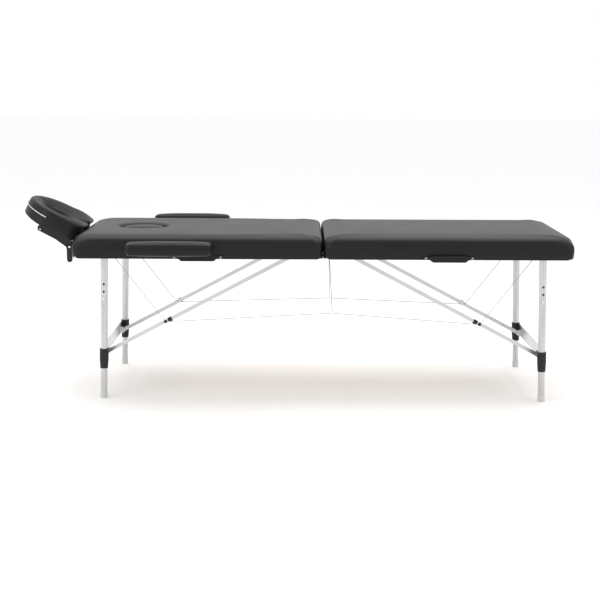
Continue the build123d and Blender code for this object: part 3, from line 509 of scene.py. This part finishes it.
for side in (-1, 1):
    centre = (at(HEAD, ARMREST_X[side]), side * (ARMREST_IN + ARMREST_OUT) / 2, ARMREST_MIDDLE[side])
    size = (ARMREST_LENGTH - 0.003, ARMREST_OUT - ARMREST_IN - 0.005, ARMREST_HEIGHT - 0.003)
    shape = block(centre, size, ARMREST_CORNER, ARMREST_EDGE, both=True)
    for vertex in shape.verts:
        outward = (side * vertex.co.y - ARMREST_IN) / (ARMREST_OUT - ARMREST_IN)
        if vertex.co.z > centre[2]:
            vertex.co.z -= ARMREST_SLOPE * max(0, outward) ** 2
    pad, name = stuff(shape_object(f"{SIDE_NAME[side]}_armrest_cushion", shape),
                      ARMREST_VOXEL, ARMREST_SWELL)
    cushion = rounded(shape_object(name, pad), f"{SIDE_NAME[side]}_armrest_cushion")
    finish_piece(cushion, leather, f"{SIDE_NAME[side]}_armrest")
    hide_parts(f"{SIDE_NAME[side]}_armrest_pad")
paint(zinc, "near_armrest_frame", "far_armrest_frame")

plastic = Finish("moulded_black_plastic", specular_ior_level=0.32)
speckle = plastic.noise(900, 2, 0.6)
plastic.drive("Base Color", plastic.blend(plastic.noise(12), (0.007, 0.007, 0.0075),
                                          (0.014, 0.014, 0.0145)))
plastic.drive("Roughness", 0.42 + 0.14 * speckle)
plastic.relief(speckle, 0.00010, 0.5)
paint(plastic, "sockets")


# ---- face cradle ----
# A horseshoe cushion in leatherette on a plywood ring, tilted by two black side plates.
# Its crossbar slides into the head end on two steel posts; a pale silver piping edges the cushion, and
# its brightness is partly a painted highlight along the cushion's outer edge.
CRADLE_X, CRADLE_Z, CRADLE_TILT = 0.970, 0.563, radians(26.5)
CUSHION_START, CUSHION_LENGTH, CUSHION_WIDTH = -0.024, 0.255, 0.290
CUSHION_LIFT, CUSHION_HELD, CUSHION_SHRINK = 0.027, 0.006, 0.985
CUSHION_VOXEL, CUSHION_SWELL = 0.0045, 0.006
BOWL_DEPTH, BOWL_EDGE, BOWL_RUN = 0.020, 0.94, 0.44
BOWL_FROM, BOWL_BLEND = 0.030, 0.03
PIPING_LIFT, PIPING_RADIUS, PIPING_OUT = 0.066, 0.0017, 0.0008
PIPING_POINTS, PIPING_SHORT = 25, radians(10)
CLIP_X, CLIP_Y, CLIP_Z, CLIP_TILT = 0.962, 0.1245, 0.597, radians(14)
CLIP_SIZE, CLIP_EDGE = (0.020, 0.0025, 0.006), 0.0007
CRADLE_FRAME = (Matrix.Translation((at(HEAD, CRADLE_X), 0, CRADLE_Z))
                @ Matrix.Rotation(CRADLE_TILT, 4, "Y") @ Matrix.Rotation(pi, 4, "Z"))

shape = bmesh.new()
shape.from_mesh(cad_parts["face_cushion"].data)
bmesh.ops.remove_doubles(shape, verts=shape.verts, dist=1e-5)
to_cradle = CRADLE_FRAME.inverted()
cushion_middle = CUSHION_START + CUSHION_LENGTH / 2
for vertex in shape.verts:
    spot = to_cradle @ vertex.co
    spot.x = cushion_middle + (spot.x - cushion_middle) * CUSHION_SHRINK
    spot.y *= CUSHION_SHRINK
    vertex.co = CRADLE_FRAME @ spot
shape, name = stuff(shape_object("face_rest_cushion", shape), CUSHION_VOXEL, CUSHION_SWELL,
                    held=lambda co: (to_cradle @ co).z < CUSHION_LIFT + CUSHION_HELD)
for vertex in shape.verts:
    spot = to_cradle @ vertex.co
    out = hypot((spot.x - cushion_middle) / CUSHION_LENGTH, spot.y / CUSHION_WIDTH) * 2
    inward = max(0.0, min(1.0, (BOWL_EDGE - out) / BOWL_RUN))
    spot.z -= BOWL_DEPTH * inward ** 1.5 * ease((spot.z - CUSHION_LIFT - BOWL_FROM) / BOWL_BLEND)
    vertex.co = CRADLE_FRAME @ spot
face_rest = rounded(shape_object(name, shape), "face_rest_cushion")
finish_piece(face_rest, leather, "cradle_tilt")
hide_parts("face_cushion")

# Pale silver for the piping strip: partly the piping's own colour, partly a painted highlight standing in
# for the light along the cushion's outer edge. The side-plate clips use the same finish.
silver = Finish("silver_piping", metallic=0.55)
silver.drive("Base Color", silver.blend(silver.noise(120), (0.56, 0.57, 0.58), (0.70, 0.71, 0.72)))
silver.drive("Roughness", 0.32 + 0.12 * silver.noise(700))
silver.relief(silver.noise(1400), 0.00008, 0.5)
piping_line = bpy.data.curves.new("piping_line", "CURVE")
piping_line.dimensions = "3D"
spline = piping_line.splines.new("NURBS")
spline.points.add(PIPING_POINTS - 1)
half_turn = pi / 2 - PIPING_SHORT
for step, point in enumerate(spline.points):
    turn = half_turn * (step / ((PIPING_POINTS - 1) / 2) - 1)
    out = Vector((cushion_middle + cos(turn) * (CUSHION_LENGTH / 2 + PIPING_OUT),
                  sin(turn) * (CUSHION_WIDTH / 2 + PIPING_OUT), PIPING_LIFT))
    point.co = (*(CRADLE_FRAME @ out), 1)
spline.order_u = 3
spline.use_endpoint_u = True
piping_line.bevel_depth, piping_line.bevel_resolution, piping_line.use_fill_caps = PIPING_RADIUS, 3, True
holder = bpy.data.objects.new("piping_holder", piping_line)
piping = bpy.data.objects.new("face_rest_piping", bpy.data.meshes.new_from_object(holder))
bpy.data.objects.remove(holder)
scene.collection.objects.link(piping)
finish_piece(piping, silver, "cradle_tilt")

clips = bmesh.new()
for side in (-1, 1):
    plate = bmesh.ops.create_cube(clips, size=1)["verts"]
    bmesh.ops.transform(clips, verts=plate,
                        matrix=Matrix.Translation((at(HEAD, CLIP_X), side * CLIP_Y, CLIP_Z))
                        @ Matrix.Rotation(CLIP_TILT, 4, "Y") @ Matrix.Diagonal((*CLIP_SIZE, 1)))
bmesh.ops.bevel(clips, geom=clips.edges[:], offset=CLIP_EDGE, segments=3, profile=0.5,
                affect="EDGES", material=-1)
clips = shape_object("side_plate_clips", clips)
finish_piece(clips, silver, "cradle_tilt")

chrome = Finish("polished_chrome", metallic=1.0)
chrome.drive("Base Color", chrome.blend(chrome.noise(40), (0.74, 0.75, 0.77), (0.84, 0.84, 0.85)))
chrome.drive("Roughness", 0.10 + 0.08 * chrome.noise(200))
paint(chrome, "cradle_posts", "cradle_clamp_rod")
paint(plastic, "cradle_yoke", "cradle_side_plates", "cradle_board", "cam_lever")


# ---- fluted legs ----
# Extruded aluminium tubes with lengthwise flutes, one sliding in the other. The outer
# tube has seven height holes, and a chromed snap button holds the inner tube in one.
LEG_X, PIVOT_Z, SPLAY = 0.8155, 0.563, radians(1.785)
LEG_Y, STAGGER = 0.264, 0.014
UPPER_TUBE = (0.014, 0.438, 0.0140, 0.0128)
LOWER_TUBE = (0.163, 0.552, 0.0125, 0.0111)
BUTTON_ALONG, HOLE_PITCH, HOLE_RADIUS = 0.178, 0.0286, 0.0043
HOLE_STEPS = range(-2, 5)
FLUTES, FLUTE_DEPTH, FLUTE_SHARPNESS = 12, 0.0009, 2.2
TUBE_SIDES = FLUTES * 8
PIN_LENGTH, PIN_OUT = 0.016, 0.014
RIB_COUNT, RIB_START, RIB_PITCH = 7, 0.3735, 0.0052
RIB_OUT, RIB_RADIUS = 0.0163, 0.0009

cap_plastic = Finish("pale_grey_end_cap", specular_ior_level=0.4)
cap_plastic.drive("Base Color", cap_plastic.blend(cap_plastic.noise(30), (0.46, 0.47, 0.46),
                                                  (0.58, 0.59, 0.58)))
cap_plastic.drive("Roughness", 0.42 + 0.2 * cap_plastic.noise(300))
cap_plastic.relief(cap_plastic.noise(700), 0.00012, 0.5)


def pair_y(end):
    return -end * STAGGER


def leg_frame(end, y):
    """Z down the leg, X inboard, at the leg's pivot."""
    inboard = Vector((-end * cos(SPLAY), 0, -sin(SPLAY)))
    down = Vector((end * sin(SPLAY), 0, -cos(SPLAY)))
    across = down.cross(inboard)
    turned = Matrix((inboard, across, down)).transposed().to_4x4()
    return Matrix.Translation((at(end, LEG_X), y, PIVOT_Z)) @ turned


def fluted_tube(name, place, tube):
    """Hollow tube with rounded flutes, from start to finish along the leg."""
    start, finish, radius, bore = tube
    shape = bmesh.new()
    at_start = Matrix.Translation((0, 0, start))
    ring = bmesh.ops.create_circle(shape, radius=radius, segments=TUBE_SIDES, matrix=at_start)["verts"]
    for vertex in ring:
        turn = vertex.co.to_2d().angle_signed(Vector((0, 1)))
        wave = abs(sin(turn * FLUTES / 2))
        deep = 1 - FLUTE_DEPTH / radius * max(0, 1 - wave * FLUTE_SHARPNESS)
        vertex.co.x *= deep
        vertex.co.y *= deep
    bmesh.ops.create_circle(shape, radius=bore, segments=TUBE_SIDES, matrix=at_start)
    bmesh.ops.bridge_loops(shape, edges=shape.edges[:])
    walls = bmesh.ops.extrude_face_region(shape, geom=shape.faces[:])["geom"]
    bmesh.ops.translate(shape, verts=[v for v in walls if isinstance(v, bmesh.types.BMVert)],
                        vec=(0, 0, finish - start))
    bmesh.ops.recalc_face_normals(shape, faces=shape.faces)
    bmesh.ops.transform(shape, matrix=place, verts=shape.verts)
    return shape_object(name, shape)


def hole_pins(place, facing, stations):
    """Cutters for a row of holes in one side of a tube."""
    pins = bmesh.new()
    for along in stations:
        pin = bmesh.ops.create_cone(pins, cap_ends=True, segments=24, radius1=HOLE_RADIUS,
                                    radius2=HOLE_RADIUS, depth=PIN_LENGTH)["verts"]
        bmesh.ops.transform(pins, matrix=place @ Matrix.Translation((0, facing * PIN_OUT, along))
                            @ Matrix.Rotation(pi / 2, 4, "X"), verts=pin)
    return shape_object("hole_pins", pins)


def add_ring(shape, radius, spot, steps):
    """A round wire of the given radius, from its place beside the Z axis all the way round it."""
    loop = bmesh.ops.create_circle(shape, radius=radius, segments=10,
                                   matrix=spot @ Matrix.Rotation(pi / 2, 4, "X"))["verts"]
    edges = [e for e in shape.edges if e.verts[0] in loop and e.verts[1] in loop]
    bmesh.ops.spin(shape, geom=loop + edges, cent=(0, 0, 0), axis=(0, 0, 1), angle=2 * pi, steps=steps,
                   use_merge=True)


for end in (HEAD, FOOT):
    half = HALF_NAME[end]
    for side in (-1, 1):
        name = f"{half}_{SIDE_NAME[side]}"
        place = leg_frame(end, pair_y(end) + side * LEG_Y)
        facing = side * (1 if (place.to_3x3() @ Vector((0, 1, 0))).y > 0 else -1)
        stations = [BUTTON_ALONG + step * HOLE_PITCH for step in HOLE_STEPS]
        for label, tube, holes, body, node in (
                ("outer_tube", UPPER_TUBE, stations, f"{half}_legs", f"{half}_upper_legs"),
                ("inner_tube", LOWER_TUBE, [BUTTON_ALONG], f"{name}_lower_leg", f"{name}_lower_leg")):
            leg = fluted_tube(f"{name}_{label}", place, tube)
            leg = carve(leg, hole_pins(place, facing, holes))
            leg.name = f"{name}_{label}"
            finish_piece(leg, aluminium, body)
            for face in leg.data.polygons:
                face.use_smooth = False
            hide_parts(node)
        paint(cap_plastic, f"{name}_foot")
        paint(chrome, f"{name}_button")

        ribs = bmesh.new()
        for step in range(RIB_COUNT):
            spot = Matrix.Translation((RIB_OUT, 0, RIB_START + RIB_PITCH * step))
            add_ring(ribs, RIB_RADIUS, spot, 40)
        bmesh.ops.recalc_face_normals(ribs, faces=ribs.faces)
        bmesh.ops.transform(ribs, matrix=place, verts=ribs.verts)
        ribs = shape_object(f"{name}_collar_ribs", ribs)
        finish_piece(ribs, plastic, f"{half}_legs")
    paint(aluminium, f"{half}_lower_braces", f"{half}_upper_braces")
    paint(plastic, f"{half}_leg_mouldings", f"{half}_brace_joints")


# ---- support cables ----
# Thin stranded steel cables brace the open table on both sides. A diagonal cable runs from
# each brace's middle joint up to the deck beside the leg. A link cable runs from each joint
# to a small ring under the centre, and a drop cable holds the ring up.
CABLE_DIAMETER = 0.003
RING_RADIUS, RING_WIRE = 0.0026, 0.0009
JOINT_TRIM, EYE_TRIM, RING_TRIM, DROP_TRIM = 0.0068, 0.0055, 0.0034, 0.006
BRACE_TOP = (0.072, 0.562)
BRACE_FOOT_ALONG, BRACE_FOOT_IN = 0.3982, 0.0045
CABLE_OUT, EYE_X, EYE_Z = 0.199, 0.808, 0.556
LINK_X, LINK_Z = 0.038, {-1: 0.322, 1: 0.304}
DROP_X, DROP_Z = 0.027, 0.571

cable_finish = Finish("stranded_steel", metallic=0.35)
strand = cable_finish.noise(1500, 1, 0.5)
cable_finish.drive("Base Color", cable_finish.blend(strand, (0.34, 0.34, 0.35), (0.62, 0.62, 0.63)))
cable_finish.drive("Roughness", 0.32 + 0.15 * strand)
cable_finish.relief(strand, 0.0002, 0.6)


def brace_joint(end):
    """X and Z of a brace's middle pivot."""
    foot_x = at(end, LEG_X + BRACE_FOOT_ALONG * sin(SPLAY) - BRACE_FOOT_IN * cos(SPLAY))
    foot_z = PIVOT_Z - BRACE_FOOT_ALONG * cos(SPLAY) - BRACE_FOOT_IN * sin(SPLAY)
    top_x, top_z = at(end, BRACE_TOP[0]), BRACE_TOP[1]
    whole = hypot(top_x - foot_x, top_z - foot_z)
    share = (whole - (LEG_X - BRACE_FOOT_ALONG - BRACE_TOP[0])) / 2 / whole
    return foot_x + share * (top_x - foot_x), foot_z + share * (top_z - foot_z)


def cable(name, start, finish, trims, body, node):
    """One taut cable between two fixings, drawn back from them by the trims."""
    start, finish = Vector(start), Vector(finish)
    trim_start, trim_finish = trims
    along = (finish - start).normalized()
    first, last = start + along * trim_start, finish - along * trim_finish
    line = bpy.data.curves.new(name, "CURVE")
    line.dimensions = "3D"
    spline = line.splines.new("NURBS")
    spline.points.add(3)
    for step, point in enumerate(spline.points):
        point.co = (*first.lerp(last, step / 3), 1)
    spline.order_u = 3
    spline.use_endpoint_u = True
    holder = bpy.data.objects.new(f"{name}_line", line)
    path = [v.co.copy() for v in bpy.data.meshes.new_from_object(holder).vertices]
    line.bevel_depth, line.bevel_resolution, line.use_fill_caps = CABLE_DIAMETER / 2, 2, True
    tube = bpy.data.objects.new(name, bpy.data.meshes.new_from_object(holder))
    bpy.data.objects.remove(holder)
    scene.collection.objects.link(tube)
    finish_piece(tube, cable_finish, body)
    (last - first).length
    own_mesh(tube)
    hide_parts(node)


for side in (-1, 1):
    ends = {}
    for end in (HEAD, FOOT):
        half = HALF_NAME[end]
        y = pair_y(end) + side * CABLE_OUT
        joint_x, joint_z = brace_joint(end)
        ends[end] = Vector((joint_x, y, joint_z))
        cable(f"{half}_{SIDE_NAME[side]}_diagonal_cable", ends[end], (at(end, EYE_X), y, EYE_Z),
              (JOINT_TRIM, EYE_TRIM), f"{half}_half", f"{half}_diagonal_cables")
    ring_x = at(FOOT, LINK_X)
    share = (ring_x - ends[HEAD].x) / (ends[FOOT].x - ends[HEAD].x)
    ring_at = Vector((ring_x, ends[HEAD].y + share * (ends[FOOT].y - ends[HEAD].y), LINK_Z[side]))
    for end in (HEAD, FOOT):
        half = HALF_NAME[end]
        cable(f"{half}_{SIDE_NAME[side]}_link_cable", ends[end], ring_at,
              (JOINT_TRIM, RING_TRIM), f"{half}_half", f"{half}_link_cables")
    cable(f"{SIDE_NAME[side]}_drop_cable", ring_at, (at(FOOT, DROP_X), 0, DROP_Z),
          (RING_TRIM, DROP_TRIM), "foot_half", "foot_link_cables")
    ring = bmesh.new()
    add_ring(ring, RING_WIRE, Matrix.Translation((RING_RADIUS, 0, 0)), 28)
    bmesh.ops.recalc_face_normals(ring, faces=ring.faces)
    bmesh.ops.transform(ring, verts=ring.verts,
                        matrix=Matrix.Translation(ring_at) @ Matrix.Rotation(pi / 2, 4, "X"))
    ring = shape_object(f"{SIDE_NAME[side]}_cable_ring", ring)
    finish_piece(ring, chrome, "foot_half")
    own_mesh(ring)


# ---- carry handles ----
# A doubled leatherette strap on the near side of each half, stitched along both edges
# and held by a bright domed rivet through each end.
HANDLE_X, RIVET_PITCH, RIVET_Z = 0.4645, 0.172, 0.55125
STRAP_THICKNESS, STRAP_EDGE = 0.005, 0.0012
STRAP_REACH = RIVET_PITCH / 2 + 0.009
STRAP_HALF_END, STRAP_HALF_HEIGHT, STRAP_DROP = 0.00575, 0.012, 0.0022
STRAP_FLARE, STRAP_ARCH, STRAP_FILL = 0.014, 0.016, 0.92
STRAP_TIP, STRAP_TIP_CUT = 0.94, 0.25
STRAP_RISE = {HEAD: 0.0006, FOOT: 0.009}
STRAP_FACE = -TABLE_WIDTH / 2 - 0.001 - STRAP_THICKNESS / 2
STITCH_ROW, STITCH_SPACES, STITCH_HALF = 0.72, 28, 0.010
STITCH_SINK, STITCH_FLAT, STITCH_TALL = 0.0003, 0.0005, 0.0006
DOME_SIZE, DOME_OUT = (0.0052, 0.0019, 0.0052), 0.0002


def strap_point(end, u, v):
    """Middle surface of the strap: u from -1 to 1 along it, v from -1 to 1 up it."""
    from_tip = (1 - abs(u)) * STRAP_REACH
    wide = ease(from_tip / STRAP_FLARE - 1.6)
    half_height = STRAP_HALF_END + (STRAP_HALF_HEIGHT - STRAP_HALF_END) * wide
    bulge = STRAP_RISE[end] * ease(from_tip / STRAP_ARCH - 1.0)
    return Vector((at(end, HANDLE_X) + u * STRAP_REACH, STRAP_FACE - bulge,
                   RIVET_Z - STRAP_DROP * wide + v * half_height))


stitching = Finish("stitching_thread", specular_ior_level=0.3)
stitching.drive("Base Color", stitching.blend(stitching.noise(800), (0.045, 0.045, 0.047),
                                              (0.085, 0.085, 0.088)))
stitching.drive("Roughness", 0.7 + 0.1 * stitching.noise(300))
stitching.relief(stitching.noise(2500), 0.0001, 0.6)

gunmetal = Finish("darkened_rivet_metal", metallic=1.0)
gunmetal.drive("Base Color", gunmetal.blend(gunmetal.noise(90), (0.20, 0.20, 0.21), (0.30, 0.30, 0.31)))
gunmetal.drive("Roughness", 0.30 + 0.12 * gunmetal.noise(400))
gunmetal.relief(gunmetal.noise(900), 0.00005, 0.4)

for end in (HEAD, FOOT):
    half = HALF_NAME[end]
    strap = bmesh.new()
    bmesh.ops.create_grid(strap, x_segments=72, y_segments=8, size=1)
    for vertex in strap.verts:
        u, v = vertex.co.x, vertex.co.y
        cut = STRAP_TIP_CUT * max(0, abs(u) - STRAP_TIP) / (1 - STRAP_TIP)
        vertex.co = strap_point(end, u, v * (1 - cut))
    bmesh.ops.recalc_face_normals(strap, faces=strap.faces)
    strap = shape_object(f"{half}_strap", strap)
    thick = strap.modifiers.new("thick", "SOLIDIFY")
    thick.thickness, thick.offset = STRAP_THICKNESS * STRAP_FILL, 0
    soft = strap.modifiers.new("soft", "BEVEL")
    soft.width, soft.segments, soft.limit_method = STRAP_EDGE, 3, "ANGLE"
    strap = only_mesh(strap, f"{half}_strap")
    finish_piece(strap, leather, f"{half}_half")
    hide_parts(f"{half}_handle")

    thread = bmesh.new()
    for row in (-STITCH_ROW, STITCH_ROW):
        for step in range(2 - STITCH_SPACES, STITCH_SPACES - 1):
            u = step / STITCH_SPACES
            a, b = strap_point(end, u - STITCH_HALF, row), strap_point(end, u + STITCH_HALF, row)
            stitch = bmesh.ops.create_icosphere(thread, subdivisions=1, radius=1)["verts"]
            turn = (b - a).to_track_quat("X", "Z").to_matrix().to_4x4()
            middle = (a + b) / 2 - Vector((0, STRAP_THICKNESS / 2 - STITCH_SINK, 0))
            size = ((b - a).length / 2, STITCH_FLAT, STITCH_TALL, 1)
            bmesh.ops.transform(thread, verts=stitch,
                                matrix=Matrix.Translation(middle) @ turn @ Matrix.Diagonal(size))
    thread = shape_object(f"{half}_strap_stitches", thread)
    finish_piece(thread, stitching, f"{half}_half")

    studs = bmesh.new()
    for step in (-1, 1):
        dome = bmesh.ops.create_uvsphere(studs, u_segments=28, v_segments=12, radius=1)["verts"]
        spot = (at(end, HANDLE_X) + step * RIVET_PITCH / 2,
                STRAP_FACE - STRAP_THICKNESS / 2 + DOME_OUT, RIVET_Z)
        bmesh.ops.transform(studs, verts=dome,
                            matrix=Matrix.Translation(spot) @ Matrix.Diagonal((*DOME_SIZE, 1)))
    studs = shape_object(f"{half}_domed_rivets", studs)
    finish_piece(studs, gunmetal, f"{half}_half")
    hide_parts(f"{half}_handle_rivets")
